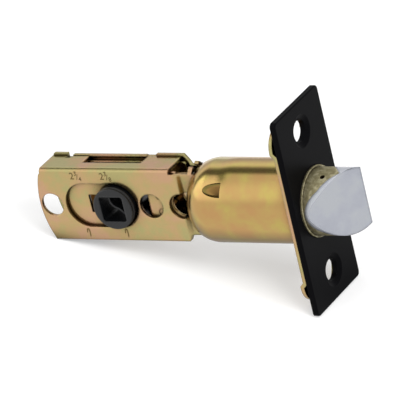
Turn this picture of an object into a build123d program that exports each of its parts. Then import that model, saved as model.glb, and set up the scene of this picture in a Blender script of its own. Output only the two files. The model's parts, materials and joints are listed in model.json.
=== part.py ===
"""Adjustable tubular privacy latch, in millimetres.

Frame: origin at the centre of the faceplate's front face, +X out of the door
along the bolt, +Y through the door's thickness, +Z up along the faceplate.
"""

import os
from math import cos, radians, sin, sqrt, tan

from build123d import *

# Faceplate and the plate behind it
plate_height = 57.15
plate_width = 25.4
plate_thickness = 1.6
plate_corner_r = 1.3
plate_edge_r = 0.35
screw_spacing = 41.3
screw_hole_r = 3.1
screw_sink_r = 4.6
sink_depth = 0.75
dimple_wall = 1.1
dimple_depth = 0.6
back_height = 50.8
back_width = 25.2
back_thickness = 1.0
back_corner_r = 5.5
back_step = 1.0
back_step_z = 18.85
back_screw_r = 5.3

# Front tube
tube_r = 11.6
tube_wall = 1.0
tube_rear_x = -36.85
dome_flat_r = 5.0
dome_length = 7.75
mouth_half_y = 3.8
mouth_half_z = 9.35

# Bolt and its collar
bolt_r = 9.2
bolt_flat_y = 4.1
bolt_throw = 12.7
bevel_root_x = 1.7
bevel_knee = (7.9, -4.5)
bevel_bulge = (5.5, -7.25)
cap_wall = 0.9
cap_skirt = 1.05
cap_peak = (9.3, -1.5)
cap_back_x = 4.8
core_hole_r = 0.7
core_hole_depth = 1.6
core_hole_x = 4.9
core_hole_angle = 70.5
collar_proud = 0.6
collar_wall = 0.5
collar_rear_x = -6.9
flange_r = 10.5
flange_length = 2.0
slide_gap = 0.06
seat_gap = 0.05

# Case
case_half_y = 4.85
sheet = 1.1
case_top = 10.93
case_bottom = -10.5
fold_r = 1.3
flange_rear_x = -82.8
flange_front_x = -41.7
tail_x = -84.8
tail_high_x = -83.25
tail_low_x = -82.3
tail_step_z = 9.25
bend_x = -39.5
jog = 1.15
neck_half_z = 9.1
arm_top_z = 9.5
window_x = (-70.9, -52.2)
window_near_y = -0.45
tab_height = 0.6
edge_height = 0.2
rear_tab_x = (-82.4, -78.0)
front_tab_x = (-49.5, -41.0)
edge_x = (-76.2, -52.6)
relief_z = 10.2
relief = 0.4
lug_x = (-36.4, -35.1)
lug_reach = 1.9
lug_rise = 1.6
lance_angle = 39.0
lance_length = 5.4
lance_half_width = 2.1
lance_depth = 1.15
backset = 60.325
backset_travel = 9.525
post_offset = 20.6
tail_hole_r = 3.4
post_hole_r = 3.6
notch_r = 3.75
slot_r = 6.65

# Hub
hub_r = 6.1
hub_proud = 2.35
hub_square = 7.4
hub_square_r = 0.7
hub_disc_r = 6.5
hub_lead = 0.25
hub_groove = 0.35
hub_groove_width = 0.5
hub_rim = 0.7
arm_reach = 9.0
arm_tip_r = 1.1
arm_root_r = 1.6
arm_lean = 45.0
arm_half_y = 1.35

# Cage that carries the hub between the two backsets
cage_sheet = 0.95
cage_bottom = -9.2
cage_rear_x = -77.4
cage_front_x = -40.0
cage_hub_window = (-69.3, -67.0)
cage_window_half_z = 2.65
cage_gap_x = (-53.9, -50.4)
cage_gap_half_z = 5.2
cage_notch_r = 3.3
spacer_r = 1.5
spacer_head_r = 1.0
spacer_x = -74.8
spacer_z = 7.2
front_spacer_x = -46.9
front_spacer_z = 2.4

# Retractor, catch and drawbar
draw_half_y = 0.8
rail_low_z = 4.2
rail_high_z = 8.4
rail_rear_x = -31.2
crotch_x = -1.0
crotch_length = 3.6
pull_y = (-2.5, -1.5)
pull_rail_z = (6.6, 8.9)
pull_wide_z = 4.4
pull_wide_rear_x = -40.0
pull_bridge = 1.1
lug_face_gap = 0.64
nib_x = -37.5
nib_length = 1.4
nib_half_z = 1.2
nib_play = 0.1
leaf_thickness = 0.5
leaf_half_z = 1.5
leaf_front_x = -27.9
rivet_x = -29.4
rivet_r = 0.7
rivet_head_r = 1.15
pin_r = 1.2
pin_x = 0.8
pin_near_y = -6.0

# Return spring and its seat
seat_front_x = -21.75
seat_thickness = 1.0
seat_rim_rear_x = -23.8
seat_rim_r = 9.5
seat_spigot_r = 2.5
seat_spigot = 2.0
spring_r = 3.3
wire_r = 0.4
spring_turns = 8.5

# Values worked out from those above
hub_x = -backset
far_slot_x = hub_x - backset_travel
hub_half_y = case_half_y + hub_proud
wall_y = case_half_y - sheet
neck_y = case_half_y - jog
back_front_x = -plate_thickness
back_rear_x = back_front_x - back_thickness
tube_inner_r = tube_r - tube_wall
dome_front_x = tube_rear_x + dome_length
collar_bore_r = bolt_r + slide_gap
collar_r = collar_bore_r + collar_wall
plate_hole_r = collar_r + seat_gap
core_rear_x = collar_rear_x - seat_gap - flange_length
cage_y = wall_y - seat_gap
cage_top = case_top - sheet - seat_gap
seat_rear_x = seat_front_x - seat_thickness
pull_front_x = seat_rear_x - 2 * seat_gap
neck_front_x = seat_rim_rear_x - 2 * seat_gap
cage_inner_y = cage_y - cage_sheet
arm_circle = arm_reach - arm_tip_r
arm_tip_x = arm_circle * sin(radians(arm_lean))
arm_tip_z = arm_circle * cos(radians(arm_lean))
lug_touch = sqrt(arm_tip_r**2 - (pull_rail_z[0] - arm_tip_z) ** 2)
lug_face_x = hub_x + arm_tip_x - lug_touch - lug_face_gap
pull_rear_x = lug_face_x - sheet
rail_mid_z = (rail_low_z + rail_high_z) / 2
leaf_near_y = -draw_half_y - leaf_thickness

os.makedirs("parts", exist_ok=True)
side_view = Plane.XZ
front_view = Plane.YZ


def finish(piece, label):
    """Label a finished piece and write it to its own file."""
    piece.part.label = label
    export_step(piece.part, f"parts/{label}.step")


def section(x):
    """Sketch plane across the latch at x, seen from the front: local x is +Y, local y is +Z."""
    return front_view.offset(x)


def side_plane(y):
    """Sketch plane along the latch at y, seen from the near side: local x is +X, local y is +Z."""
    return Plane(origin=(0, y, 0), x_dir=(1, 0, 0), z_dir=(0, -1, 0))


# Faceplate: flat sheet with two dimpled screw holes and a round opening for the collar
with BuildPart() as faceplate:
    with BuildSketch(section(0)):
        RectangleRounded(plate_width, plate_height, plate_corner_r)
    extrude(amount=-plate_thickness)
    fillet(faceplate.faces().sort_by(Axis.X)[-1].outer_wire().edges(), plate_edge_r)
    with BuildSketch(section(-plate_thickness)):
        with GridLocations(plate_width, screw_spacing, 1, 2):
            Circle(screw_hole_r + dimple_wall)
    extrude(amount=-dimple_depth, taper=25)
    with BuildSketch(section(0)):
        with GridLocations(plate_width, screw_spacing, 1, 2):
            Circle(screw_hole_r)
        Circle(plate_hole_r)
    extrude(amount=-plate_thickness - dimple_depth, mode=Mode.SUBTRACT)
    with Locations(*[Location((0, 0, side * screw_spacing / 2), (0, 90, 0)) for side in (-1, 1)]):
        Cone(
            screw_hole_r,
            screw_sink_r,
            sink_depth,
            align=(Align.CENTER, Align.CENTER, Align.MAX),
            mode=Mode.SUBTRACT,
        )

# Backing plate: flush in the middle, both ends stepped back round the screw dimples
with BuildPart() as backplate:
    with BuildSketch(side_view):
        with BuildLine():
            Polyline(
                (back_front_x, back_step_z),
                (back_front_x, -back_step_z),
                (back_front_x - back_step, -back_step_z - back_step),
                (back_front_x - back_step, -back_height / 2),
                (back_rear_x - back_step, -back_height / 2),
                (back_rear_x - back_step, -back_step_z - back_step / 2),
                (back_rear_x, -back_step_z + back_step / 2),
                (back_rear_x, back_step_z - back_step / 2),
                (back_rear_x - back_step, back_step_z + back_step / 2),
                (back_rear_x - back_step, back_height / 2),
                (back_front_x - back_step, back_height / 2),
                (back_front_x - back_step, back_step_z + back_step),
                close=True,
            )
        make_face()
    extrude(amount=back_width, both=True)
    with BuildSketch(section(0)):
        RectangleRounded(back_width, back_height, back_corner_r)
        with GridLocations(back_width, screw_spacing, 1, 2):
            Circle(back_screw_r, mode=Mode.SUBTRACT)
        Circle(plate_hole_r, mode=Mode.SUBTRACT)
    extrude(amount=-plate_thickness - back_thickness - 2 * back_step, mode=Mode.INTERSECT)

# Front tube: drawn cup with a domed rear end and a mouth for the case's neck
with BuildPart() as cup_shell:
    with BuildSketch(side_view):
        with BuildLine():
            cup = Line((back_rear_x, 0), (back_rear_x, tube_r))
            Line(cup @ 1, (dome_front_x, tube_r))
            EllipticalCenterArc(
                (dome_front_x, dome_flat_r),
                dome_length,
                tube_r - dome_flat_r,
                start_angle=90,
                arc_size=90,
            )
            Line((tube_rear_x, dome_flat_r), (tube_rear_x, 0))
            Line((tube_rear_x, 0), cup @ 0)
        make_face()
        with BuildLine():
            bore = Line((back_rear_x, 0), (back_rear_x, tube_inner_r))
            Line(bore @ 1, (dome_front_x, tube_inner_r))
            EllipticalCenterArc(
                (dome_front_x, dome_flat_r),
                dome_length - tube_wall,
                tube_inner_r - dome_flat_r,
                start_angle=90,
                arc_size=90,
            )
            Line((tube_rear_x + tube_wall, dome_flat_r), (tube_rear_x + tube_wall, 0))
            Line((tube_rear_x + tube_wall, 0), bore @ 0)
        make_face(mode=Mode.SUBTRACT)
    revolve(axis=Axis.X)
    with BuildSketch(section(tube_rear_x)):
        Rectangle(2 * mouth_half_y, 2 * mouth_half_z)
    extrude(amount=dome_length, mode=Mode.SUBTRACT)


def dent(length, depth, half_width):
    """Half of an ellipsoid: its flat end stands across the tube, its long axis along it."""
    with BuildPart() as shape:
        Sphere(1)
        scale(by=(length, depth, half_width), mode=Mode.REPLACE)
        with Locations((0, 0, 0)):
            Box(
                2 * length,
                4 * depth,
                4 * half_width,
                align=(Align.MIN, Align.CENTER, Align.CENTER),
                mode=Mode.SUBTRACT,
            )
    return shape.part


# Lances: two dents cut across their front ends and pushed in, which hold the spring seat
lance_y = tube_r * cos(radians(lance_angle))
lance_z = tube_r * sin(radians(lance_angle))
lance_places = [
    Location((seat_rim_rear_x, -side * lance_y, side * lance_z), (-lance_angle, 0, 0)) for side in (1, -1)
]
lance_outer = (
    lance_length + tube_wall / 2,
    lance_depth + tube_wall * 0.9,
    lance_half_width + tube_wall * 0.8,
)
with BuildPart() as lance_shells:
    with Locations(*lance_places):
        add(dent(*lance_outer))
    with BuildSketch(section(seat_rim_rear_x)):
        Circle(tube_r - seat_gap)
    extrude(amount=-lance_length - tube_wall, mode=Mode.INTERSECT)
with BuildPart() as front_tube:
    add(cup_shell.part)
    add(lance_shells.part)
    with Locations(*lance_places):
        add(dent(lance_length, lance_depth, lance_half_width), mode=Mode.SUBTRACT)

# Collar: bush in the tube's front end, its D-shaped bore keeps the bolt from turning
with BuildPart() as bolt_collar:
    with BuildSketch(section(collar_rear_x)):
        Circle(tube_inner_r - seat_gap)
    extrude(amount=back_rear_x - collar_rear_x)
    with BuildSketch(section(back_rear_x)):
        Circle(collar_r)
    extrude(amount=collar_proud - back_rear_x)
    fillet(bolt_collar.faces().sort_by(Axis.X)[-1].edges(), 0.2)
    with BuildSketch(section(collar_rear_x)):
        Circle(collar_bore_r)
        with Locations((bolt_flat_y + slide_gap, 0)):
            Rectangle(
                bolt_r * 2,
                bolt_r * 3,
                align=(Align.MIN, Align.CENTER),
                mode=Mode.SUBTRACT,
            )
    extrude(amount=collar_proud - collar_rear_x, mode=Mode.SUBTRACT)


def bolt_section():
    """The bolt's D-shaped section: a circle with a flat on the closing side."""
    with BuildSketch(Plane.XY) as shape:
        Circle(bolt_r)
        with Locations((bolt_flat_y, 0)):
            Rectangle(
                bolt_r * 2,
                bolt_r * 3,
                align=(Align.MIN, Align.CENTER),
                mode=Mode.SUBTRACT,
            )
    return shape.sketch


def bevel_curve(inset):
    """Plan outline of the bevel, moved back by inset: a tight arc at the root, then a flatter one."""
    root = (bevel_root_x - inset, -bolt_r)
    knee = (bevel_knee[0] - inset, bevel_knee[1] + inset / 3)
    bulge = (bevel_bulge[0] - inset, bevel_bulge[1] + inset / 6)
    tip = (bolt_throw - inset, bolt_flat_y)
    first = ThreePointArc(root, bulge, knee)
    TangentArc(first @ 1, tip, tangent=first % 1)
    return root, tip


def bevel_region(inset):
    """Plan area behind the bevel curve."""
    with BuildSketch(Plane.XY) as region:
        with BuildLine():
            root, tip = bevel_curve(inset)
            Polyline(
                tip,
                (tip[0], 2 * bolt_r),
                (core_rear_x, 2 * bolt_r),
                (core_rear_x, -2 * bolt_r),
                (root[0], -2 * bolt_r),
                root,
            )
        make_face()
    return region.sketch


def skirt_region():
    """Plan area in front of the cap's rear edge: it follows the bevel, then runs back to the flat."""
    with BuildSketch(Plane.XY) as region:
        with BuildLine():
            Polyline(
                (-bolt_r, -2 * bolt_r),
                (bevel_root_x - cap_skirt, -2 * bolt_r),
                (bevel_root_x - cap_skirt, -bolt_r),
                (bevel_bulge[0] - cap_skirt, bevel_bulge[1] + cap_skirt / 2),
                (bevel_knee[0] - cap_skirt, bevel_knee[1] + cap_skirt / 2),
                cap_peak,
                (cap_back_x, bolt_flat_y),
                (cap_back_x, 2 * bolt_r),
                (-bolt_r, 2 * bolt_r),
                close=True,
            )
        make_face()
    return region.sketch


# Cap: chrome nose over the bevel, the tip and the flat, with a narrow skirt round its edge
with BuildPart() as bolt_cap:
    with BuildSketch(section(-bolt_r)):
        add(bolt_section())
    extrude(amount=bolt_throw + bolt_r)
    with BuildSketch(Plane.XY):
        add(bevel_region(0))
    extrude(amount=2 * bolt_r, both=True, mode=Mode.INTERSECT)
    with BuildPart(mode=Mode.SUBTRACT):
        with BuildSketch(section(-bolt_r)):
            Circle(bolt_r - cap_wall)
            with Locations((bolt_flat_y - cap_wall, 0)):
                Rectangle(
                    bolt_r * 2,
                    bolt_r * 3,
                    align=(Align.MIN, Align.CENTER),
                    mode=Mode.SUBTRACT,
                )
        extrude(amount=bolt_throw + bolt_r)
        with BuildSketch(Plane.XY):
            add(bevel_region(cap_wall))
        extrude(amount=2 * bolt_r, both=True, mode=Mode.INTERSECT)
    with BuildSketch(Plane.XY):
        add(skirt_region())
    extrude(amount=2 * bolt_r, both=True, mode=Mode.SUBTRACT)

# Core: the bolt's body, rebated for the cap, slotted for the drawbar and bored for the spring
with BuildPart() as bolt_core:
    with BuildSketch(section(collar_rear_x - seat_gap)):
        add(bolt_section())
    extrude(amount=bolt_throw - collar_rear_x + seat_gap)
    with BuildSketch(Plane.XY):
        add(bevel_region(0))
    extrude(amount=2 * bolt_r, both=True, mode=Mode.INTERSECT)
    with BuildSketch(section(core_rear_x)):
        Circle(flange_r)
    extrude(amount=flange_length)
    add(bolt_cap.part, mode=Mode.SUBTRACT)
    with BuildSketch(section(core_rear_x)):
        Circle(rail_low_z - seat_gap)
    extrude(amount=crotch_x - core_rear_x, mode=Mode.SUBTRACT)
    with BuildSketch(section(core_rear_x)):
        Rectangle(2 * (draw_half_y + seat_gap), 2 * (rail_high_z + seat_gap))
    extrude(amount=crotch_x + crotch_length + seat_gap - core_rear_x, mode=Mode.SUBTRACT)
    with BuildSketch(side_plane(bolt_flat_y)):
        with Locations((pin_x, 0)):
            Circle(pin_r)
    extrude(amount=bolt_flat_y - pin_near_y, mode=Mode.SUBTRACT)
    core_hole_plane = Plane(
        origin=(
            core_hole_x,
            -bolt_r * cos(radians(core_hole_angle)),
            bolt_r * sin(radians(core_hole_angle)),
        ),
        x_dir=(1, 0, 0),
        z_dir=(0, -cos(radians(core_hole_angle)), sin(radians(core_hole_angle))),
    )
    with BuildSketch(core_hole_plane.offset(1)):
        Circle(core_hole_r)
    extrude(amount=-core_hole_depth - 1, mode=Mode.SUBTRACT)

# Cross pin: holds the drawbar in the core
with BuildPart() as tail_pin:
    with BuildSketch(side_plane(bolt_flat_y)):
        with Locations((pin_x, 0)):
            Circle(pin_r)
    extrude(amount=bolt_flat_y - pin_near_y)

# Drawbar: two rails from the bolt back into the case, with the spring between them
with BuildPart() as drawbar:
    with BuildSketch(side_plane(-draw_half_y)):
        with BuildLine():
            Polyline(
                (crotch_x + crotch_length, rail_high_z),
                (rail_rear_x, rail_high_z),
                (rail_rear_x, rail_low_z),
                (crotch_x, rail_low_z),
                (crotch_x, -rail_low_z),
                (rail_rear_x, -rail_low_z),
                (rail_rear_x, -rail_high_z),
                (crotch_x + crotch_length, -rail_high_z),
                close=True,
            )
        make_face()
        with Locations((pin_x, 0)):
            Circle(pin_r, mode=Mode.SUBTRACT)
        with Locations((rivet_x, rail_mid_z), (rivet_x, -rail_mid_z)):
            Circle(rivet_r, mode=Mode.SUBTRACT)
    extrude(amount=-2 * draw_half_y)

# Catch springs: leaves riveted to the rails, their nibs stand in the retractor's windows
with BuildPart() as catch_springs:
    with BuildSketch(side_plane(-draw_half_y)):
        with Locations(*[((leaf_front_x + nib_x) / 2, side * rail_mid_z) for side in (-1, 1)]):
            Rectangle(leaf_front_x - nib_x + nib_length, 2 * leaf_half_z)
        with Locations((rivet_x, rail_mid_z), (rivet_x, -rail_mid_z)):
            Circle(rivet_r, mode=Mode.SUBTRACT)
    extrude(amount=leaf_thickness)
    with BuildSketch(side_plane(leaf_near_y)):
        with Locations((nib_x, rail_mid_z), (nib_x, -rail_mid_z)):
            Rectangle(nib_length, 2 * nib_half_z)
    extrude(amount=leaf_near_y - pull_y[0] - seat_gap)

# Catch rivets: one through each leaf and rail
with BuildPart() as catch_rivets:
    with BuildSketch(side_plane(leaf_near_y)):
        with Locations((rivet_x, rail_mid_z), (rivet_x, -rail_mid_z)):
            Circle(rivet_head_r)
    extrude(amount=(leaf_near_y - pull_y[1]) / 2)
    with BuildSketch(side_plane(leaf_near_y)):
        with Locations((rivet_x, rail_mid_z), (rivet_x, -rail_mid_z)):
            Circle(rivet_r)
    extrude(amount=-leaf_thickness - 2 * draw_half_y)
    with BuildSketch(side_plane(draw_half_y)):
        with Locations((rivet_x, rail_mid_z), (rivet_x, -rail_mid_z)):
            Circle(rivet_head_r)
    extrude(amount=-leaf_thickness)

# Retractor: sheet fork whose tips fold in front of the hub's arms
with BuildPart() as retractor:
    with BuildSketch(side_plane(pull_y[1])):
        with BuildLine():
            Polyline(
                (pull_front_x, pull_rail_z[1]),
                (pull_rear_x, pull_rail_z[1]),
                (pull_rear_x, pull_rail_z[0]),
                (pull_wide_rear_x, pull_rail_z[0]),
                (pull_wide_rear_x, pull_wide_z),
                (pull_front_x - pull_bridge, pull_wide_z),
                (pull_front_x - pull_bridge, -pull_wide_z),
                (pull_wide_rear_x, -pull_wide_z),
                (pull_wide_rear_x, -pull_rail_z[0]),
                (pull_rear_x, -pull_rail_z[0]),
                (pull_rear_x, -pull_rail_z[1]),
                (pull_front_x, -pull_rail_z[1]),
                close=True,
            )
        make_face()
        for step in (0, backset_travel):
            with Locations((nib_x + step, rail_mid_z), (nib_x + step, -rail_mid_z)):
                Rectangle(nib_length + 2 * nib_play, 2 * (nib_half_z + nib_play), mode=Mode.SUBTRACT)
    extrude(amount=pull_y[1] - pull_y[0])
    pull_rail_mid = (pull_rail_z[0] + pull_rail_z[1]) / 2
    with BuildSketch(side_plane(pull_y[1])):
        with Locations(*[((pull_rear_x + lug_face_x) / 2, side * pull_rail_mid) for side in (-1, 1)]):
            Rectangle(sheet, pull_rail_z[1] - pull_rail_z[0])
    extrude(amount=pull_y[1] - arm_half_y)

# Spring seat: disc held in the tube, slotted for the rails, with a spigot inside the spring
with BuildPart() as spring_seat:
    with BuildSketch(section(seat_rear_x)):
        Circle(tube_inner_r - seat_gap)
        for side in (-1, 1):
            with Locations((0, side * rail_mid_z)):
                Rectangle(
                    2 * (draw_half_y + 4 * seat_gap),
                    rail_high_z - rail_low_z + 8 * seat_gap,
                    mode=Mode.SUBTRACT,
                )
    extrude(amount=seat_thickness)
    with BuildSketch(section(seat_rear_x)):
        Circle(tube_inner_r - seat_gap)
        Circle(seat_rim_r, mode=Mode.SUBTRACT)
    extrude(amount=seat_rim_rear_x - seat_rear_x)
    with BuildSketch(section(seat_front_x)):
        Circle(seat_spigot_r)
    extrude(amount=seat_spigot)
    chamfer(spring_seat.faces().sort_by(Axis.X)[-1].edges(), 0.5)

# Return spring: open coil between the seat and the bolt
spring_length = crotch_x - seat_front_x - 2 * wire_r - 2 * seat_gap
spring_start_x = seat_front_x + wire_r + seat_gap
with BuildPart() as bolt_spring:
    with BuildLine() as coil:
        Helix(
            pitch=spring_length / spring_turns,
            height=spring_length,
            radius=spring_r,
            center=(spring_start_x, 0, 0),
            direction=(1, 0, 0),
        )
    with BuildSketch(Plane(origin=coil.line @ 0, z_dir=coil.line % 0)):
        Circle(wire_r)
    sweep(is_frenet=True)


def wall_plan(side):
    """Plan of one wall, side -1 near and 1 far: straight, then jogged inwards to make the neck."""
    shift = sheet * tan(radians(22.5))
    with BuildSketch(Plane.XY) as plan:
        with BuildLine():
            Polyline(
                (tail_x - 1, side * case_half_y),
                (bend_x, side * case_half_y),
                (bend_x + jog, side * neck_y),
                (neck_front_x, side * neck_y),
                (neck_front_x, side * (neck_y - sheet)),
                (bend_x + jog - shift, side * (neck_y - sheet)),
                (bend_x - shift, side * wall_y),
                (tail_x - 1, side * wall_y),
                close=True,
            )
        make_face()
        bends = plan.vertices().filter_by_position(Axis.X, bend_x - sheet, bend_x + jog)
        fillet(bends, 0.5)
    return plan.sketch


def wall_openings():
    """Holes shared by both case walls: slot for the hub, post holes, and the fork in the neck."""
    with BuildSketch(Plane.XY) as openings:
        with Locations(((hub_x + far_slot_x) / 2, 0)):
            SlotCenterToCenter(backset_travel, 2 * slot_r)
        with Locations((hub_x - post_offset, 0)):
            Circle(tail_hole_r)
        with Locations((far_slot_x + post_offset, 0)):
            Circle(post_hole_r)
        with Locations((hub_x + post_offset, 0)):
            Circle(notch_r)
            Rectangle(dome_length, 2 * notch_r, align=(Align.MIN, Align.CENTER))
    return openings.sketch


def neck_lug(side):
    """Section of the finger that stands up from the neck and leans over towards the middle."""
    tip_y = neck_y - lug_reach
    tip_z = neck_half_z + lug_rise
    lean = sheet * 0.7
    with BuildSketch(Plane.XY) as lug:
        with BuildLine():
            Polyline(
                (side * neck_y, neck_half_z - sheet),
                (side * neck_y, neck_half_z),
                (side * tip_y, tip_z),
                (side * (tip_y - lean), tip_z - lean),
                (side * (neck_y - sheet), neck_half_z - sheet + lean),
                (side * (neck_y - sheet), neck_half_z - sheet),
                close=True,
            )
        make_face()
        fillet(lug.vertices(), 0.2)
    return lug.sketch


# Near case plate: wall with the folded top, the hub slot, the post holes and the neck
with BuildPart() as near_case_plate:
    with BuildSketch(Plane.XY.offset(case_bottom)):
        add(wall_plan(-1))
    extrude(amount=arm_top_z - case_bottom)
    with BuildSketch(side_view):
        with BuildLine():
            tail = ThreePointArc(
                (tail_low_x, case_bottom),
                (tail_x, 0),
                (tail_high_x, tail_step_z),
            )
            Polyline(
                tail @ 1,
                (flange_rear_x, tail_step_z),
                (flange_rear_x, arm_top_z),
                (bend_x - sheet / 2, arm_top_z),
                (bend_x + jog, neck_half_z),
                (neck_front_x, neck_half_z),
                (neck_front_x, -neck_half_z),
                (bend_x + jog / 2, -neck_half_z),
                (bend_x, case_bottom),
                tail @ 0,
            )
        make_face()
        add(wall_openings(), mode=Mode.SUBTRACT)
    extrude(amount=2 * case_half_y, both=True, mode=Mode.INTERSECT)
    with BuildSketch(section(flange_rear_x)):
        with BuildLine():
            Polyline(
                (-case_half_y, arm_top_z - sheet),
                (-case_half_y, case_top),
                (wall_y, case_top),
                (wall_y, case_top - sheet),
                (-wall_y, case_top - sheet),
                (-wall_y, arm_top_z - sheet),
                close=True,
            )
        make_face()
    extrude(amount=flange_front_x - flange_rear_x)
    near_fold = near_case_plate.edges().filter_by(Axis.X).group_by(Axis.Z)[-1].sort_by(Axis.Y)[0]
    fillet(near_fold, fold_r)
    with BuildSketch(Plane.XY.offset(case_top)):
        with Locations(((window_x[0] + window_x[1]) / 2, (window_near_y + wall_y) / 2)):
            Rectangle(window_x[1] - window_x[0], wall_y - window_near_y)
        with Locations(((rear_tab_x[1] + edge_x[0]) / 2, wall_y)):
            Rectangle(edge_x[0] - rear_tab_x[1], 2 * sheet)
    extrude(amount=-sheet, mode=Mode.SUBTRACT)
    with BuildSketch(section(lug_x[0])):
        add(neck_lug(-1))
    extrude(amount=lug_x[1] - lug_x[0])

# Far case plate: the same wall mirrored, with the folded bottom and raised tabs on its top edge
with BuildPart() as far_case_plate:
    with BuildSketch(Plane.XY.offset(case_bottom)):
        add(wall_plan(1))
    extrude(amount=case_top + tab_height - case_bottom)
    with BuildSketch(side_view):
        with BuildLine():
            tail = ThreePointArc(
                (tail_low_x, case_bottom),
                (tail_x, 0),
                (tail_high_x, tail_step_z),
            )
            Polyline(
                tail @ 1,
                (rear_tab_x[0], case_top + tab_height),
                (rear_tab_x[1], case_top + tab_height),
                (rear_tab_x[1], relief_z),
                (edge_x[0], relief_z),
                (edge_x[0], case_top + edge_height),
                (edge_x[1], case_top + edge_height),
                (edge_x[1], case_top),
                (front_tab_x[0], case_top),
                (front_tab_x[0], case_top + tab_height),
                (front_tab_x[1], case_top + tab_height),
                (bend_x, arm_top_z),
                (bend_x + jog, neck_half_z),
                (neck_front_x, neck_half_z),
                (neck_front_x, -neck_half_z),
                (bend_x + jog / 2, -neck_half_z),
                (bend_x, case_bottom + sheet),
                (tail_low_x, case_bottom + sheet),
                tail @ 0,
            )
        make_face()
        add(wall_openings(), mode=Mode.SUBTRACT)
    extrude(amount=2 * case_half_y, both=True, mode=Mode.INTERSECT)
    with BuildSketch(section(flange_rear_x + relief)):
        with BuildLine():
            Polyline(
                (case_half_y, case_bottom + sheet),
                (-wall_y, case_bottom + sheet),
                (-wall_y, case_bottom),
                (case_half_y - sheet, case_bottom),
            )
            RadiusArc((case_half_y - sheet, case_bottom), (case_half_y, case_bottom + sheet), -sheet)
        make_face()
    extrude(amount=bend_x - sheet - flange_rear_x - relief)
    with BuildSketch(section(lug_x[0])):
        add(neck_lug(1))
    extrude(amount=lug_x[1] - lug_x[0])


def cage_outline():
    """Side outline of the cage's plates, with the hub's bearing and the openings round it."""
    with BuildSketch(Plane.XY) as outline:
        with Locations(((cage_rear_x + cage_front_x) / 2, (cage_top + cage_bottom) / 2)):
            Rectangle(cage_front_x - cage_rear_x, cage_top - cage_bottom)
        fillet(outline.vertices(), 1.0)
        with Locations((hub_x, 0)):
            Circle(hub_r + slide_gap, mode=Mode.SUBTRACT)
        with Locations((sum(cage_hub_window) / 2, 0)):
            Rectangle(cage_hub_window[1] - cage_hub_window[0], 2 * cage_window_half_z, mode=Mode.SUBTRACT)
        with Locations((sum(cage_gap_x) / 2, 0)):
            Rectangle(cage_gap_x[1] - cage_gap_x[0], 2 * cage_gap_half_z, mode=Mode.SUBTRACT)
        with Locations((hub_x + post_offset, 0)):
            Circle(cage_notch_r, mode=Mode.SUBTRACT)
        with Locations(*spacer_places):
            Circle(spacer_head_r, mode=Mode.SUBTRACT)
    return outline.sketch


spacer_places = [(spacer_x, -spacer_z), (spacer_x, spacer_z)]
spacer_places += [(front_spacer_x, -front_spacer_z), (front_spacer_x, front_spacer_z)]

# Cage plates: two sheets inside the case that carry the hub from one backset to the other
with BuildPart() as near_cage_plate:
    with BuildSketch(side_plane(-cage_inner_y)):
        add(cage_outline())
    extrude(amount=cage_sheet)

with BuildPart() as far_cage_plate:
    with BuildSketch(side_plane(cage_y)):
        add(cage_outline())
    extrude(amount=cage_sheet)

# Spacers: shouldered pins riveted flush in both cage plates
with BuildPart() as cage_spacers:
    with BuildSketch(side_plane(cage_inner_y)):
        with Locations(*spacer_places):
            Circle(spacer_r)
    extrude(amount=2 * cage_inner_y)
    with BuildSketch(side_plane(cage_y)):
        with Locations(*spacer_places):
            Circle(spacer_head_r)
    extrude(amount=2 * cage_y)

# Hub: moulded drum with a square socket, a wide middle and two arms that push the retractor
with BuildPart() as hub:
    with BuildSketch(side_plane(hub_half_y)):
        with Locations((hub_x, 0)):
            Circle(hub_r)
    extrude(amount=2 * hub_half_y)
    chamfer(hub.edges().filter_by(GeomType.CIRCLE), hub_lead)
    with BuildSketch(side_plane(cage_inner_y - 2 * seat_gap)):
        with Locations((hub_x, 0)):
            Circle(hub_disc_r)
    extrude(amount=2 * (cage_inner_y - 2 * seat_gap))
    for side in (-1, 1):
        with BuildSketch(side_plane(arm_half_y)):
            with Locations((hub_x, 0)):
                Circle(arm_root_r)
            with Locations((hub_x + arm_tip_x, side * arm_tip_z)):
                Circle(arm_tip_r)
            make_hull()
        extrude(amount=2 * arm_half_y)
    for side in (-1, 1):
        with BuildSketch(side_plane(side * (hub_half_y - hub_rim))):
            with Locations((hub_x, 0)):
                Circle(hub_r)
                Circle(hub_r - hub_groove, mode=Mode.SUBTRACT)
        extrude(amount=side * hub_groove_width, mode=Mode.SUBTRACT)
    with BuildSketch(side_plane(hub_half_y)):
        with Locations((hub_x, 0)):
            RectangleRounded(hub_square, hub_square, hub_square_r)
    extrude(amount=2 * hub_half_y, mode=Mode.SUBTRACT)

for piece, label in (
    (faceplate, "faceplate"),
    (backplate, "backplate"),
    (front_tube, "front_tube"),
    (bolt_collar, "bolt_collar"),
    (bolt_core, "bolt_core"),
    (bolt_cap, "bolt_cap"),
    (tail_pin, "tail_pin"),
    (drawbar, "drawbar"),
    (catch_springs, "catch_springs"),
    (catch_rivets, "catch_rivets"),
    (retractor, "retractor"),
    (spring_seat, "spring_seat"),
    (bolt_spring, "bolt_spring"),
    (near_case_plate, "near_case_plate"),
    (far_case_plate, "far_case_plate"),
    (near_cage_plate, "near_cage_plate"),
    (far_cage_plate, "far_cage_plate"),
    (cage_spacers, "cage_spacers"),
    (hub, "hub"),
):
    finish(piece, label)
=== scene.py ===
"""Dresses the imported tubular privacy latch: finishes, stamped marks and small formed details."""

import json
from math import cos, pi, radians, sin

import bpy
import numpy as np
from mathutils import Matrix, Vector


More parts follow.
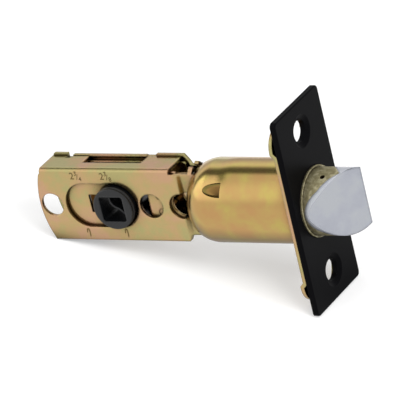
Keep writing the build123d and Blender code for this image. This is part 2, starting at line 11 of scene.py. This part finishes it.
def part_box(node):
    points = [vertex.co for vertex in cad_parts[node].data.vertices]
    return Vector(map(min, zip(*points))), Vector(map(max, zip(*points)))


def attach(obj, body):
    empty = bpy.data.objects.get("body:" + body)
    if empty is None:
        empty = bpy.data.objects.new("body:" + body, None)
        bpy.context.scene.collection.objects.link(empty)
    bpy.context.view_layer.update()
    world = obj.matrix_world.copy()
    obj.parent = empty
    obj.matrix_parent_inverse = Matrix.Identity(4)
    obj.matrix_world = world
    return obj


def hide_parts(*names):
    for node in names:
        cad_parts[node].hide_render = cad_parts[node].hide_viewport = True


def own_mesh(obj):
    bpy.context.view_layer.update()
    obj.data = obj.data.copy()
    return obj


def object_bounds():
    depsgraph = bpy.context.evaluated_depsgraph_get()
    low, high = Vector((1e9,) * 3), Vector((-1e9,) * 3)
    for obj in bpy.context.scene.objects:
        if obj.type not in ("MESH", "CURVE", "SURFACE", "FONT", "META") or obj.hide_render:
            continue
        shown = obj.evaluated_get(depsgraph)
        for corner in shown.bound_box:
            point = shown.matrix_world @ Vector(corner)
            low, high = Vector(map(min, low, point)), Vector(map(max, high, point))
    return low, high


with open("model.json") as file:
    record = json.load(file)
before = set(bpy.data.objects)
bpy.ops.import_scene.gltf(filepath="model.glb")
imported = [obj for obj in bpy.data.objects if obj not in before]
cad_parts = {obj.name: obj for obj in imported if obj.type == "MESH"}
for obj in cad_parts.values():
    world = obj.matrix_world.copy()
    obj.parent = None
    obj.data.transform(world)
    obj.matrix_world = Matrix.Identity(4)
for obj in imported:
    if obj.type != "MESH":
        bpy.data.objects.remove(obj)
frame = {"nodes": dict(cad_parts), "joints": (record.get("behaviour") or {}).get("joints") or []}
cad_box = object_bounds()
nodes = frame["nodes"]
joints = {joint["name"]: joint for joint in frame["joints"]}
MM = 0.001

# Places and sizes from the frame
tube_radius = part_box("front_tube")[1].z
near_wall_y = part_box("near_case_plate")[0].y
hub_x = joints["hub_turn"]["pos_m"][0]

# Along the tube, the photo shows where its dome starts and where it begins to draw in
dome_front_x = -29.1 * MM
draw_front_x = -24.0 * MM
draw_blend = 2.5 * MM
draw_slope = 0.11

# Depth below the tube's radius at which a lance's painted shade starts, and where it is full
lance_edge = 0.1 * MM
lance_floor = 1.2 * MM

# Painted shade in recesses: the share of open sky at which it starts, the share left where it is
# full, and how far off a neighbouring wall still counts
shade_starts = 0.88
shade_full = 0.42
shade_reach = 4.5 * MM


# Materials


def srgb(hex_code):
    """An sRGB hex colour as linear light: c/12.92 below 0.04045, else ((c + 0.055)/1.055)^2.4."""
    channels = [int(hex_code[i : i + 2], 16) / 255 for i in (1, 3, 5)]
    linear = [c / 12.92 if c <= 0.04045 else ((c + 0.055) / 1.055) ** 2.4 for c in channels]
    return (*linear, 1.0)


def grey(level):
    """A neutral colour of the given linear level."""
    return (level, level, level, 1.0)


def shown(sockets, name):
    """The socket of that name or number that the node's settings leave switched on."""
    if isinstance(name, int):
        return sockets[name]
    return next(s for s in sockets if s.name == name and s.enabled)


def node(tree, kind, inputs=None, stops=(), **settings):
    """Adds one node. Settings are its properties, and inputs its sockets' values or links, each
    link a (node, output) pair. Stops are a colour ramp's (position, colour) pairs."""
    new = tree.nodes.new(kind)
    for name, value in settings.items():
        setattr(new, name, value)
    for name, value in (inputs or {}).items():
        socket = shown(new.inputs, name)
        if isinstance(value, tuple) and isinstance(value[0], bpy.types.Node):
            tree.links.new(shown(value[0].outputs, value[1]), socket)
        else:
            socket.default_value = value
    if stops:
        elements = new.color_ramp.elements
        while len(elements) > 1:
            elements.remove(elements[-1])
        elements[0].position, elements[0].color = stops[0]
        for position, colour in stops[1:]:
            elements.new(position).color = colour
    return new


def new_material(name):
    """An empty material and its node tree."""
    material = bpy.data.materials.new(name)
    material.use_nodes = True
    material.node_tree.nodes.clear()
    return material, material.node_tree


def recess_painted_shade(tree, colour, dark):
    """Colour darkened towards the dark colour where less of the sky is open within the reach set
    above: painted shade in recesses and between parts.
    """
    open_sky = node(tree, "ShaderNodeAmbientOcclusion", {"Distance": shade_reach}, samples=6)
    share = node(
        tree,
        "ShaderNodeMapRange",
        {"Value": (open_sky, "AO"), "From Min": shade_full, "From Max": shade_starts},
    )
    return node(
        tree,
        "ShaderNodeMix",
        {"Factor": (share, "Result"), "A": dark, "B": colour},
        data_type="RGBA",
    )


def sunk(tree, place, colour):
    """Painted shade and light in the tube's lances: tints by how far the point's distance from the
    tube's axis falls short of the tube's radius, forward of the dome only."""
    axes = node(tree, "ShaderNodeSeparateXYZ", {"Vector": (place, "Object")})
    radial = node(tree, "ShaderNodeCombineXYZ", {"Y": (axes, "Y"), "Z": (axes, "Z")})
    radius = node(tree, "ShaderNodeVectorMath", {0: (radial, "Vector")}, operation="LENGTH")
    depth = node(
        tree,
        "ShaderNodeMapRange",
        {
            "Value": (radius, "Value"),
            "From Min": tube_radius - lance_edge,
            "From Max": tube_radius - lance_floor,
        },
    )
    ahead = node(
        tree, "ShaderNodeMath", {0: (axes, "X"), 1: dome_front_x}, operation="GREATER_THAN"
    )
    share = node(
        tree, "ShaderNodeMath", {0: (depth, "Result"), 1: (ahead, "Value")}, operation="MULTIPLY"
    )
    begun = node(tree, "ShaderNodeMath", {0: (share, "Value"), 1: 0.01}, operation="GREATER_THAN")
    # The stops paint the dent's light and shade, darkest at its bottom
    tints = node(
        tree,
        "ShaderNodeValToRGB",
        {"Fac": (share, "Value")},
        stops=[
            (0.0, srgb("#8a7a45")),
            (0.35, srgb("#7a6c3a")),
            (0.6, srgb("#8f7040")),
            (1.0, srgb("#5a4224")),
        ],
    )
    return node(
        tree,
        "ShaderNodeMix",
        {"Factor": (begun, "Value"), "A": colour, "B": (tints, "Color")},
        data_type="RGBA",
    )


def drawn_in(tree, place, bump):
    """The bump's normal with the tube's slight draw towards its dome: a slope of draw_slope in the
    height behind draw_front_x, none ahead of it."""
    axes = node(tree, "ShaderNodeSeparateXYZ", {"Vector": (place, "Object")})
    behind = node(
        tree,
        "ShaderNodeMath",
        {0: (axes, "X"), 1: draw_front_x, 2: draw_blend},
        operation="SMOOTH_MIN",
    )
    return node(
        tree,
        "ShaderNodeBump",
        {
            "Strength": 1.0,
            "Distance": draw_slope,
            "Height": (behind, "Value"),
            "Normal": (bump, "Normal"),
        },
    )


def polished_ends(tree, most):
    """How metallic a bolt's face looks: not at all on its sides, whose normal stands square to X,
    and most on a face that leans towards X by a fifth or more."""
    facing = node(tree, "ShaderNodeNewGeometry")
    axes = node(tree, "ShaderNodeSeparateXYZ", {"Vector": (facing, "Normal")})
    lean = node(tree, "ShaderNodeMath", {0: (axes, "X")}, operation="ABSOLUTE")
    return node(
        tree,
        "ShaderNodeMapRange",
        {"Value": (lean, "Value"), "From Min": 0.02, "From Max": 0.2, "To Max": most},
    )


def plated_metal(
    name,
    tints,
    roughness,
    waviness,
    edge,
    dark="#1d1408",
    metallic=1.0,
    patch=10.5,
    lances=False,
    matt_sides=False,
):
    """Plated metal whose colour drifts between three tints, over the fine even grain of the metal
    below. Lengths are in millimetres: waviness is the depth of the slow unevenness that forming
    leaves, edge is how far bends and cut rims look rounded, and patch is the size of a tint's
    patches. The dark colour is painted shade in its recesses and between parts. With lances, the
    dents pressed into the tube take painted shade and light by depth. With matt_sides, the faces
    that stand square to the bolt's travel are left unpolished, so they scatter light."""
    swell_size, grain_size, grain_depth = 6.25, 0.4, 0.02
    material, tree = new_material(name)
    place = node(tree, "ShaderNodeTexCoord")
    drift = node(
        tree,
        "ShaderNodeTexNoise",
        {
            "Vector": (place, "Object"),
            "Scale": 1 / (patch * MM),
            "Detail": 5.0,
            "Roughness": 0.6,
        },
    )
    tint = node(
        tree,
        "ShaderNodeValToRGB",
        {"Fac": (drift, "Fac")},
        stops=list(zip((0.38, 0.5, 0.6), map(srgb, tints))),
    )
    rounded = node(tree, "ShaderNodeBevel", {"Radius": edge * MM}, samples=6)
    swell = node(
        tree,
        "ShaderNodeTexNoise",
        {"Vector": (place, "Object"), "Scale": 1 / (swell_size * MM), "Detail": 1.0},
    )
    formed = node(
        tree,
        "ShaderNodeBump",
        {
            "Strength": 1.0,
            "Distance": waviness * MM,
            "Height": (swell, "Fac"),
            "Normal": (rounded, "Normal"),
        },
    )
    grain = node(
        tree,
        "ShaderNodeTexNoise",
        {"Vector": (place, "Object"), "Scale": 1 / (grain_size * MM), "Detail": 3.0},
    )
    bump = node(
        tree,
        "ShaderNodeBump",
        {
            "Strength": 0.12,
            "Distance": grain_depth * MM,
            "Height": (grain, "Fac"),
            "Normal": (formed, "Normal"),
        },
    )
    # Painted shade: the tints darken towards the dark colour in recesses and between parts, by how
    # little open sky they see
    colour = (recess_painted_shade(tree, (tint, "Color"), srgb(dark)), "Result")
    if lances:
        # Painted shade and light in the lances, by their depth
        colour = (sunk(tree, place, colour), "Result")
        bump = drawn_in(tree, place, bump)
    if matt_sides:
        metallic = (polished_ends(tree, metallic), "Result")
    shader = node(
        tree,
        "ShaderNodeBsdfPrincipled",
        {
            "Base Color": colour,
            "Metallic": metallic,
            "Roughness": roughness,
            "Normal": (bump, "Normal"),
        },
    )
    node(tree, "ShaderNodeOutputMaterial", {"Surface": (shader, "BSDF")})
    return material


def plain_finish(name, colour, metallic, roughness, grain, depth, shine=0.5, edge=0.2):
    """One even colour with a fine moulded, sprayed or brushed grain. Lengths are in millimetres:
    grain is the size of its grain, depth the depth of it, and edge how far its corners look
    rounded. Shine is the strength of its mirror on plastic and paint."""
    material, tree = new_material(name)
    place = node(tree, "ShaderNodeTexCoord")
    speckle = node(
        tree,
        "ShaderNodeTexNoise",
        {"Vector": (place, "Object"), "Scale": 1 / (grain * MM), "Detail": 2.0},
    )
    rounded = node(tree, "ShaderNodeBevel", {"Radius": edge * MM}, samples=6)
    bump = node(
        tree,
        "ShaderNodeBump",
        {
            "Strength": 0.3,
            "Distance": depth * MM,
            "Height": (speckle, "Fac"),
            "Normal": (rounded, "Normal"),
        },
    )
    shader = node(
        tree,
        "ShaderNodeBsdfPrincipled",
        {
            "Base Color": srgb(colour),
            "Metallic": metallic,
            "Roughness": roughness,
            "Specular IOR Level": shine,
            "Normal": (bump, "Normal"),
        },
    )
    node(tree, "ShaderNodeOutputMaterial", {"Surface": (shader, "BSDF")})
    return material


# Yellow zinc plate on cold-rolled sheet: a thin clear film, so its gold drifts to pink and green
case_zinc = plated_metal(
    "yellow_zinc_sheet",
    ("#c19b79", "#b99f6f", "#ada36f"),
    roughness=0.2,
    waviness=0.01,
    edge=0.75,
)
# The same plate on the deep-drawn tube: a more even gold, with the slow swell that drawing leaves
tube_zinc = plated_metal(
    "yellow_zinc_drawn_tube",
    ("#b9925f", "#b99b60", "#b9a55e"),
    roughness=0.2,
    waviness=0.02,
    edge=0.15,
    # Its lances take painted shade and light by depth
    lances=True,
)
# Satin chrome on pressed steel: a soft blue-grey mirror, with a bright matt rim down its sides
satin_chrome = plated_metal(
    "satin_chrome",
    ("#a6a9b2", "#acafb7", "#b0b3b8"),
    roughness=0.2,
    waviness=0.06,
    edge=0.9,
    # Its painted recess shade is its own middle tint, so the chrome is not darkened in recesses
    dark="#acafb7",
    metallic=0.85,
    matt_sides=True,
)
# Zinc casting, barrel plated: duller and greener than the sheet, sandy and speckled
cast_zinc = plated_metal(
    "yellow_zinc_casting",
    ("#938a66", "#a89f7a", "#c8c09c"),
    roughness=0.5,
    waviness=0.08,
    edge=0.25,
    metallic=0.6,
    patch=1.43,
)
# Black stoving enamel: nearly matt, with a faint orange peel
black_enamel = plain_finish(
    "black_enamel",
    "#08080a",
    metallic=0.0,
    roughness=0.4,
    grain=0.45,
    depth=0.03,
    shine=0.03,
    edge=0.3,
)
# Moulded glass-filled nylon: black and smooth, with a soft shine on its edges
black_nylon = plain_finish(
    "black_nylon",
    "#0b0c0e",
    metallic=0.0,
    roughness=0.22,
    grain=0.67,
    depth=0.02,
    shine=0.45,
    edge=0.7,
)
# Bright drawn steel on pins, rivets and springs: a plain grey mirror, slightly blurred
drawn_steel = plain_finish(
    "bright_drawn_steel", "#b4b4b2", metallic=1.0, roughness=0.3, grain=0.5, depth=0.01
)
# Stamped zinc plate: the strokes' dark bronze is painted shade, standing in for the shade inside
# strokes pressed into the wall
stroke_painted_shade = plain_finish(
    "stroke_painted_shade", "#7d6a42", metallic=1.0, roughness=0.4, grain=0.5, depth=0.01
)

finishes = {
    black_enamel: ["faceplate"],
    tube_zinc: ["front_tube"],
    cast_zinc: ["bolt_collar", "bolt_core"],
    satin_chrome: ["bolt_cap"],
    black_nylon: ["hub"],
    drawn_steel: ["tail_pin", "catch_springs", "catch_rivets", "bolt_spring"],
    case_zinc: [
        "backplate",
        "near_case_plate",
        "far_case_plate",
        "near_cage_plate",
        "far_cage_plate",
        "cage_spacers",
        "retractor",
        "drawbar",
        "spring_seat",
    ],
}
for finish, names in finishes.items():
    for name in names:
        mesh = nodes[name].data
        mesh.materials.clear()
        mesh.materials.append(finish)


# Small formed details


def new_mesh(name, points, faces, smooth=False):
    """A mesh from an array of points and a list of faces. With smooth, its four-sided faces are
    shaded as one curved surface."""
    mesh = bpy.data.meshes.new(name)
    mesh.from_pydata(points.reshape(-1, 3).tolist(), [], faces)
    mesh.polygons.foreach_set("use_smooth", [smooth and len(face) == 4 for face in faces])
    mesh.update()
    return mesh


def add_piece(name, mesh, finish, body):
    """Puts a mesh into the scene as a piece of the given finish that rides on a body."""
    mesh.materials.clear()
    mesh.materials.append(finish)
    piece = bpy.data.objects.new(name, mesh)
    bpy.context.scene.collection.objects.link(piece)
    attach(piece, body)
    return piece


def unit(vectors):
    """Each row of an array divided by its length."""
    return vectors / np.linalg.norm(vectors, axis=1)[:, None]


def spline(points, count):
    """Catmull-Rom curve through points: each span blends its four neighbours by cubic weights."""
    ends = np.array(points, float)
    knots = np.vstack([2 * ends[0] - ends[1], ends, 2 * ends[-1] - ends[-2]])
    where = np.linspace(0, len(ends) - 1, count)
    span = np.minimum(where.astype(int), len(ends) - 2)
    t = (where - span)[:, None]
    a, b, c, d = (knots[span + k] for k in range(4))
    return 0.5 * (
        2 * b + (c - a) * t + (2 * a - 5 * b + 4 * c - d) * t**2 + (3 * b - a - 3 * c + d) * t**3
    )


def ring_along(path, side, top, radius, sides):
    """A ring carried along a path: path + radius (side cos t + top sin t), t going round it."""
    turn = np.linspace(0, 2 * pi, sides, endpoint=False)[None, :, None]
    radius = np.broadcast_to(radius, len(path))[:, None, None]
    return path[:, None] + radius * (side[:, None] * np.cos(turn) + top[:, None] * np.sin(turn))


def closed_sweep(profile_count, step_count):
    """Faces of a closed profile carried through step_count stations, with a cap at each end."""
    ring = np.arange(profile_count)
    after = (ring + 1) % profile_count
    base = np.arange(step_count - 1)[:, None] * profile_count
    quads = np.stack(
        [base + ring, base + after, base + profile_count + after, base + profile_count + ring],
        axis=-1,
    ).reshape(-1, 4)
    last = (step_count - 1) * profile_count
    return quads.tolist() + [ring[::-1].tolist(), (last + ring).tolist()]


def socket_leaf():
    """Spring leaf across the socket's corner that takes up the spindle's play: a curve in the
    side view, thickened along its normal and carried through the hub along Y. Its route is x and
    z from the hub's axis, and it ends inset inside the hub's faces, all in millimetres."""
    half_thick, inset, steps = 0.24, 1.0, 25
    route = [(-1.15, 3.65), (-0.85, 1.5), (0.15, 0.35), (1.6, -0.4), (3.65, -2.3)]
    middle = spline(route, steps)
    along = np.gradient(middle, axis=0)
    normal = unit(np.column_stack([-along[:, 1], along[:, 0]]))
    outline = np.vstack([middle - normal * half_thick, (middle + normal * half_thick)[::-1]]) * MM
    low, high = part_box("hub")
    count = len(outline)
    points = np.zeros((2, count, 3))
    points[:, :, 0] = hub_x + outline[:, 0]
    points[:, :, 1] = [[low.y + inset * MM], [high.y - inset * MM]]
    points[:, :, 2] = outline[:, 1]
    sides = closed_sweep(count, 2)[:-2]
    near = [[i, count - 1 - i, count - 2 - i, i + 1] for i in range(count // 2 - 1)]
    far = [[count + i for i in face[::-1]] for face in near]
    mesh = new_mesh("socket_leaf", points, sides + near + far)
    add_piece("socket_leaf", mesh, black_nylon, "hub")


def return_spring():
    """The open coil between its seat and the bolt, which closes up as the bolt goes in: a ring of
    the wire's radius carried along a helix about X, set on its radial and its second normal."""
    turns, wire = 8.5, 0.4 * MM
    sides, steps = 10, 205
    low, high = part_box("bolt_spring")
    reach = high.x - low.x
    angle = np.linspace(0, 2 * pi * turns, steps)
    out = np.column_stack([np.zeros(steps), np.cos(angle), np.sin(angle)])
    middle = out * (high.y - wire)
    middle[:, 0] = low.x + wire + (reach - 2 * wire) * angle / angle[-1]
    aside = np.cross(unit(np.gradient(middle, axis=0)), out)
    points = ring_along(middle, out, aside, wire, sides)
    mesh = new_mesh("return_spring", points, closed_sweep(sides, steps), smooth=True)
    piece = add_piece("return_spring", mesh, drawn_steel, "case")
    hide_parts("bolt_spring")
    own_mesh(piece)


def stamped_figure(name, words, height, x, z):
    """Figures of a height, at x and z on the near wall, in millimetres. They stand off it by a
    stroke and are thickened by as much, and are made a mesh before they are placed."""
    stroke = 0.02 * MM
    curve = bpy.data.curves.new(name, "FONT")
    curve.body = words
    curve.size = height * MM
    curve.extrude = stroke
    curve.offset = stroke
    text = bpy.data.objects.new(name, curve)
    bpy.context.scene.collection.objects.link(text)
    bpy.context.view_layer.update()
    mesh = bpy.data.meshes.new_from_object(text)
    bpy.data.objects.remove(text)
    upright = Matrix.Rotation(radians(90), 4, "X")
    mesh.transform(Matrix.Translation((x * MM, near_wall_y, z * MM)) @ upright)
    add_piece(name, mesh, stroke_painted_shade, "case")


def index_hook(name, x):
    """The stamped hook below the slot at x: a ring carried along the hook's curve, half sunk in
    the near wall and half as high as it is wide. Its radius shrinks towards both ends as the root
    of 1 - u^6, u going from -1 to 1 along the hook, down to a tip. Lengths are in millimetres."""
    radius, height_share, tip_share = 0.2, 0.5, 0.1
    sides, steps = 12, 13
    route = [(x - 0.5, -8.6), (x - 0.35, -7.4), (x + 0.15, -7.3), (x + 0.3, -8.4), (x + 0.2, -9.8)]
    flat = spline(route, steps) * MM
    path = np.column_stack([flat[:, 0], np.full(steps, near_wall_y), flat[:, 1]])
    along = np.gradient(path, axis=0)
    across = unit(np.column_stack([-along[:, 2], np.zeros(steps), along[:, 0]]))
    outward = np.array([[0, -height_share, 0]])
    u = np.linspace(-1, 1, steps)
    width = radius * MM * np.sqrt(np.clip(1 - u**6, tip_share**2, 1))
    points = ring_along(path, across, outward, width, sides)
    mesh = new_mesh(name, points, closed_sweep(sides, steps))
    add_piece(name, mesh, stroke_painted_shade, "case")


socket_leaf()
return_spring()
# Each backset's size in inches stands above the slot: its lower figure, and its left end in mm
for label, under, left in (("long", "4", -73.2), ("short", "8", -63.6)):
    stamped_figure(f"{label}_backset_inches", "2", 2.9, left, 7.9)
    stamped_figure(f"{label}_backset_over", "3", 1.8, left + 1.5, 9.0)
    stamped_figure(f"{label}_backset_slash", "/", 2.4, left + 2.1, 7.8)
    stamped_figure(f"{label}_backset_under", under, 1.8, left + 2.8, 7.4)
index_hook("long_backset_index", -71.3)
index_hook("short_backset_index", -59.1)


# Studio

# The latch lies on its tail and on the foot of its faceplate, so the floor leans by floor_tilt
floor_tilt = radians(12.6)
floor_normal = Vector((sin(floor_tilt), 0, cos(floor_tilt)))
floor_point = Vector((-1.6 * MM, 0, cad_box[0][2])) - floor_normal * 0.1 * MM
floor_width = 1.6

# What metals mirror, by the ray's turn about the latch's long axis in degrees, with 0 level to
# the back and 90 straight up: (turn, radiance). A dark gap parts the backdrop from the panel.
room_bands = [
    (-180, 1.05),
    (-90, 0.9),
    (-11, 0.4),
    (9, 0.52),
    (27, 0.8),
    (40, 1.25),
    (50, 1.25),
    (57, 0.3),
    (62, 0.12),
    (77, 0.12),
    (83, 1.32),
    (150, 1.28),
    (162, 1.05),
    (180, 1.05),
]
# Where the overhead panel hangs, by the same turn: (turn, share)
panel_share = [(70, 0), (78, 1), (145, 1), (165, 0)]
# How the panel changes towards the tail, by the ray's lean from square to that axis in degrees:
# (lean, factor). Its back part is as high_tail, and it passes to low_tail over the front_turns.
high_tail = [(31.5, 1.0), (32.5, 0.05), (39, 0.05), (41.5, 1.6)]
low_tail = [(31.5, 1.0), (38, 1.25), (50, 1.4)]
front_turns = (95, 125)
# Radiance of the room as light
room_light = 0.42


def clear_view(tree):
    """1 on a ray from the camera or through a see-through surface, and 0 on any other."""
    paths = node(tree, "ShaderNodeLightPath")
    return node(
        tree,
        "ShaderNodeMath",
        {0: (paths, "Is Camera Ray"), 1: (paths, "Is Transmission Ray")},
        operation="MAXIMUM",
    )


def paper_sweep():
    """White paper: pale and lifted a little to the camera, so that it meets the background while it
    keeps the latch's shadow. To a mirror it shows a painted shadow under the latch and is bright
    round it, over an ellipse whose centre and half-axes are in metres: the painted shadow is
    darkest up to a share of it, and the floor is bright from another."""
    centre, half_axes = (-0.035, 0.012, 0), (0.07, 0.03, 1000)
    # Painted shadow under the latch, seen only in reflections: its darkest level and the share of
    # the ellipse it fills
    dark, dark_share = 0.42, 0.5
    bright, bright_share = 1.1, 1.1
    material, tree = new_material("white_paper_sweep")
    diffuse = node(tree, "ShaderNodeBsdfDiffuse", {"Color": grey(0.62)})
    glow = node(tree, "ShaderNodeEmission", {"Color": grey(1), "Strength": 0.4})
    lifted = node(tree, "ShaderNodeAddShader", {0: (diffuse, "BSDF"), 1: (glow, "Emission")})
    plain = node(tree, "ShaderNodeBsdfDiffuse", {"Color": grey(0.6)})
    place = node(tree, "ShaderNodeTexCoord")
    under = node(
        tree,
        "ShaderNodeMapping",
        {"Vector": (place, "Object"), "Location": centre, "Scale": half_axes},
        vector_type="TEXTURE",
    )
    reach = node(tree, "ShaderNodeVectorMath", {0: (under, "Vector")}, operation="LENGTH")
    shade = node(
        tree,
        "ShaderNodeMapRange",
        {
            "Value": (reach, "Value"),
            "From Min": dark_share,
            "From Max": bright_share,
            "To Min": dark,
            "To Max": bright,
        },
    )
    # The floor as mirrors see it, with the painted shadow under the latch
    mirrored = node(tree, "ShaderNodeEmission", {"Color": grey(1), "Strength": (shade, "Result")})
    lit = node(
        tree,
        "ShaderNodeMixShader",
        {"Fac": (clear_view(tree), "Value"), 1: (plain, "BSDF"), 2: (lifted, "Shader")},
    )
    paths = node(tree, "ShaderNodeLightPath")
    mix = node(
        tree,
        "ShaderNodeMixShader",
        {"Fac": (paths, "Is Glossy Ray"), 1: (lit, "Shader"), 2: (mirrored, "Emission")},
    )
    node(tree, "ShaderNodeOutputMaterial", {"Surface": (mix, "Shader")})
    return material


def studio_floor():
    """A flat square, floor_width wide, whose normal leans towards +X by floor_tilt."""
    across = Vector((0, 1, 0)) * floor_width / 2
    along = across.cross(floor_normal)
    signs = ((-1, -1), (1, -1), (1, 1), (-1, 1))
    corners = [tuple(floor_point + along * a + across * b) for a, b in signs]
    mesh = bpy.data.meshes.new("studio_floor")
    mesh.from_pydata(corners, [], [(0, 1, 2, 3)])
    mesh.materials.append(paper_sweep())
    piece = bpy.data.objects.new("studio_floor", mesh)
    bpy.context.scene.collection.objects.link(piece)


def soft_panel(name, centre, across, up, size, radiance):
    """A flat even lamp that shines along up x across: a rectangle whose sides run along across
    and up, with the given radiance. A lamp's power in watts is pi times its area times its
    radiance. Metals mirror the panels that the world draws instead."""
    across, up = Vector(across).normalized(), Vector(up).normalized()
    lamp = bpy.data.lights.new(name, "AREA")
    lamp.shape = "RECTANGLE"
    lamp.size, lamp.size_y = size
    lamp.energy = pi * size[0] * size[1] * radiance
    piece = bpy.data.objects.new(name, lamp)
    turn = Matrix((across, up, across.cross(up))).transposed().to_4x4()
    piece.matrix_world = Matrix.Translation(centre) @ turn
    piece.visible_glossy = False
    bpy.context.scene.collection.objects.link(piece)


def studio_world():
    """White to the camera. Reflections see the white backdrop behind the latch rise and end in a
    dark gap under the overhead panel, as room_bands say. Towards the tail a brighter panel follows
    the overhead one after a dark gap, as high_tail and low_tail say. The rest is a soft even grey
    as light."""
    world = bpy.data.worlds.new("studio_white")
    world.use_nodes = True
    tree = world.node_tree
    tree.nodes.clear()
    place = node(tree, "ShaderNodeTexCoord")
    axes = node(tree, "ShaderNodeSeparateXYZ", {"Vector": (place, "Generated")})
    turn = node(tree, "ShaderNodeMath", {0: (axes, "Z"), 1: (axes, "Y")}, operation="ARCTAN2")
    turn_share = node(
        tree, "ShaderNodeMapRange", {"Value": (turn, "Value"), "From Min": -pi, "From Max": pi}
    )
    room, overhead = (
        node(
            tree,
            "ShaderNodeValToRGB",
            {"Fac": (turn_share, "Result")},
            stops=[((angle + 180) / 360, grey(level)) for angle, level in bands],
        )
        for bands in (room_bands, panel_share)
    )
    radial = node(tree, "ShaderNodeCombineXYZ", {"Y": (axes, "Y"), "Z": (axes, "Z")})
    radius = node(tree, "ShaderNodeVectorMath", {0: (radial, "Vector")}, operation="LENGTH")
    lean = node(tree, "ShaderNodeMath", {0: (axes, "X"), 1: (radius, "Value")}, operation="ARCTAN2")
    lean_share = node(
        tree, "ShaderNodeMapRange", {"Value": (lean, "Value"), "From Min": 0.0, "From Max": -pi / 2}
    )
    high, low = (
        node(
            tree,
            "ShaderNodeValToRGB",
            {"Fac": (lean_share, "Result")},
            stops=[(angle / 90, grey(level)) for angle, level in bands],
        )
        for bands in (high_tail, low_tail)
    )
    lower = node(
        tree,
        "ShaderNodeMapRange",
        {
            "Value": (turn, "Value"),
            "From Min": radians(front_turns[0]),
            "From Max": radians(front_turns[1]),
        },
    )
    panel = node(
        tree,
        "ShaderNodeMix",
        {"Factor": (lower, "Result"), "A": (high, "Color"), "B": (low, "Color")},
        data_type="RGBA",
    )
    ends = node(
        tree,
        "ShaderNodeMix",
        {"Factor": (overhead, "Color"), "A": grey(1), "B": (panel, "Result")},
        data_type="RGBA",
    )
    seen = node(
        tree,
        "ShaderNodeMix",
        {"Factor": 1.0, "A": (room, "Color"), "B": (ends, "Result")},
        data_type="RGBA",
        blend_type="MULTIPLY",
    )
    white = node(tree, "ShaderNodeBackground", {"Color": grey(1), "Strength": 1.0})
    mirrored = node(tree, "ShaderNodeBackground", {"Color": (seen, "Result"), "Strength": 1.0})
    light = node(tree, "ShaderNodeBackground", {"Color": grey(1), "Strength": room_light})
    paths = node(tree, "ShaderNodeLightPath")
    glossy = node(
        tree,
        "ShaderNodeMixShader",
        {"Fac": (paths, "Is Glossy Ray"), 1: (light, "Background"), 2: (mirrored, "Background")},
    )
    mix = node(
        tree,
        "ShaderNodeMixShader",
        {"Fac": (clear_view(tree), "Value"), 1: (glossy, "Shader"), 2: (white, "Background")},
    )
    node(tree, "ShaderNodeOutputWorld", {"Surface": (mix, "Shader")})
    bpy.context.scene.world = world


def photo_camera(azimuth, elevation, roll, distance, focal_px, shift_x, shift_y):
    """Camera turned by azimuth and elevation round the origin, then rolled. Its place is the back
    vector times distance plus the picture's shift along its own right and up vectors."""
    image_px, sensor_mm = 400, 36.0
    back = np.array([sin(azimuth) * cos(elevation), -cos(azimuth) * cos(elevation), sin(elevation)])
    level = np.array([cos(azimuth), sin(azimuth), 0.0])
    upright = np.cross(back, level)
    right = cos(roll) * level + sin(roll) * upright
    up = -sin(roll) * level + cos(roll) * upright
    lens = bpy.data.cameras.new("photo_camera")
    lens.sensor_width = sensor_mm
    lens.lens = focal_px / image_px * sensor_mm
    lens.clip_start = 0.01
    lens.clip_end = 20.0
    piece = bpy.data.objects.new("photo_camera", lens)
    place = back * distance + right * shift_x + up * shift_y
    columns = np.column_stack([right, up, back, place])
    piece.matrix_world = Matrix(np.vstack([columns, [0, 0, 0, 1]]).tolist())
    bpy.context.scene.collection.objects.link(piece)
    bpy.context.scene.camera = piece


studio_floor()
studio_world()
soft_panel(
    "overhead_panel",
    centre=(0.23, -0.42, 0.79),
    across=(1, 0, 0),
    up=(0, 0.88, 0.47),
    size=(1.9, 1.4),
    radiance=1.2,
)
soft_panel(
    "key_panel",
    centre=(0.75, -0.35, 0.55),
    across=(0.42, 0.9, 0),
    up=(-0.5, 0.25, 0.8),
    size=(0.5, 0.5),
    radiance=7.0,
)
photo_camera(
    azimuth=radians(33.5),
    elevation=radians(23.11),
    roll=radians(-13.67),
    distance=1180.4 * MM,
    focal_px=4427.0,
    shift_x=-31.43 * MM,
    shift_y=0.21 * MM,
)
bpy.context.scene.view_settings.view_transform = "Standard"
